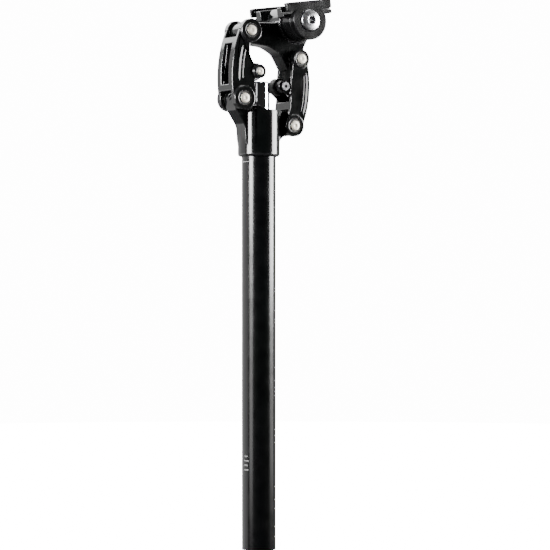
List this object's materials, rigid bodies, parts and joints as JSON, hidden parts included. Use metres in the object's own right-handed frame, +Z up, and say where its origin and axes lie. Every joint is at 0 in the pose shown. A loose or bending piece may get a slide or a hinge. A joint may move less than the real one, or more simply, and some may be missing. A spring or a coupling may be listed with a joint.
{
  "type": "suspension seatpost",
  "caption": "Parallelogram suspension seatpost with a sprung plunger in its tube, two links, and a side-bolt clamp for the saddle's rails.",
  "frame": {"origin": "centre of the tube's bottom end", "axes": "+Z up along the tube, +X to the rear of the bicycle, +Y to the rider's right"},
  "size_m": [0.0887, 0.0612, 0.4409],
  "materials": {
    "tube_black": "gloss black anodised",
    "forging_black": "gloss black anodised",
    "jaw_black": "satin black anodised",
    "polymer_white": "moulded acetal",
    "rubber_black": "moulded rubber",
    "elastomer_red": "cast elastomer",
    "screw_dark": "black oxide",
    "screw_grey": "zinc plated",
    "steel_plain": "turned steel",
    "axle_ivory": "nickel plated",
    "spring_steel": "drawn wire",
    "plunger_chrome": "hard chrome",
    "bush_dark": "moulded polymer",
    "bush_bronze": "sintered bronze",
    "roller_steel": "hardened steel",
    "collar_dark": "black anodised",
    "bolt_chrome": "polished chrome"
  },
  "bodies": {
    "post": {"post_tube": "tube_black", "lower_bracket": "forging_black", "guide_bush": "polymer_white", "wiper_seal": "rubber_black", "bracket_set_screws": "screw_dark", "lower_front_axle": "axle_ivory", "lower_rear_axle": "axle_ivory", "coil_spring": "spring_steel"},
    "preload_stack": {"spacer_sleeve": "polymer_white", "spring_seat": "polymer_white", "elastomer_core": "elastomer_red"},
    "preload_plug": {"preload_plug": "screw_dark"},
    "plunger": {"plunger_rod": "plunger_chrome", "plunger_foot": "polymer_white", "top_out_ring": "rubber_black"},
    "front_link": {"front_link": "forging_black", "lower_front_bushes": "bush_dark", "upper_front_bushes": "bush_dark", "roller_pin": "axle_ivory", "roller_washers": "steel_plain"},
    "roller": {"roller": "roller_steel", "roller_bush": "bush_bronze"},
    "rear_link": {"rear_link": "forging_black", "lower_rear_bushes": "bush_dark", "upper_rear_bushes": "bush_dark", "bumper_sleeve": "steel_plain", "bumper_collars": "collar_dark", "bumper_screw": "screw_grey", "bumper_nut": "screw_grey", "bumper_wheel": "rubber_black"},
    "head": {"head_bracket": "forging_black", "upper_front_axle": "axle_ivory", "upper_rear_axle": "axle_ivory", "head_set_screws": "screw_dark"},
    "saddle_clamp": {"left_inner_jaw": "jaw_black", "right_inner_jaw": "jaw_black", "left_outer_jaw": "jaw_black", "right_outer_jaw": "jaw_black", "clamp_bolt": "bolt_chrome", "clamp_nut": "bolt_chrome", "clamp_washers": "steel_plain"}
  },
  "joints": [
    {"name": "front_link_fold", "type": "hinge", "parent": "post", "child": "front_link", "pos_m": [-0.0214, 0, 0.3595], "axis": [0, 1, 0], "range_deg": [0, 55], "stiffness_Nm_per_rad": 30, "springref_deg": -20.05},
    {"name": "head_level", "type": "hinge", "parent": "front_link", "child": "head", "pos_m": [-0.01489, 0, 0.41331], "axis": [0, 1, 0], "range_deg": [-55.5, 0]},
    {"name": "rear_link_fold", "type": "hinge", "parent": "post", "child": "rear_link", "pos_m": [0.0259, 0, 0.3392], "axis": [0, 1, 0], "range_deg": [0, 55.5]},
    {"name": "plunger_slide", "type": "slide", "parent": "post", "child": "plunger", "axis": [0, 0, -1], "range_m": [0, 0.0215], "deforming": ["coil_spring"]},
    {"name": "roller_spin", "type": "hinge", "parent": "front_link", "child": "roller", "pos_m": [-0.0072, 0, 0.38115], "axis": [0, 1, 0], "continuous": true},
    {"name": "clamp_tilt", "type": "hinge", "parent": "head", "child": "saddle_clamp", "pos_m": [0.031, 0, 0.42261], "axis": [0, 1, 0], "range_deg": [-12, 16]},
    {"name": "preload_slide", "type": "slide", "parent": "post", "child": "preload_stack", "axis": [0, 0, 1], "range_m": [0, 0.006]},
    {"name": "preload_turn", "type": "hinge", "parent": "preload_stack", "child": "preload_plug", "pos_m": [0, 0, 0.018], "axis": [0, 0, 1], "range_deg": [0, 1441]}
  ],
  "couplings": [
    {"joint": "head_level", "follows": "front_link_fold", "ratio": -1},
    {"joint": "rear_link_fold", "follows": "front_link_fold", "ratio": 1},
    {"joint": "plunger_slide", "follows": "front_link_fold", "m_per_rad": 0.021738},
    {"joint": "preload_turn", "follows": "preload_slide", "rad_per_m": 4188.8}
  ]
}
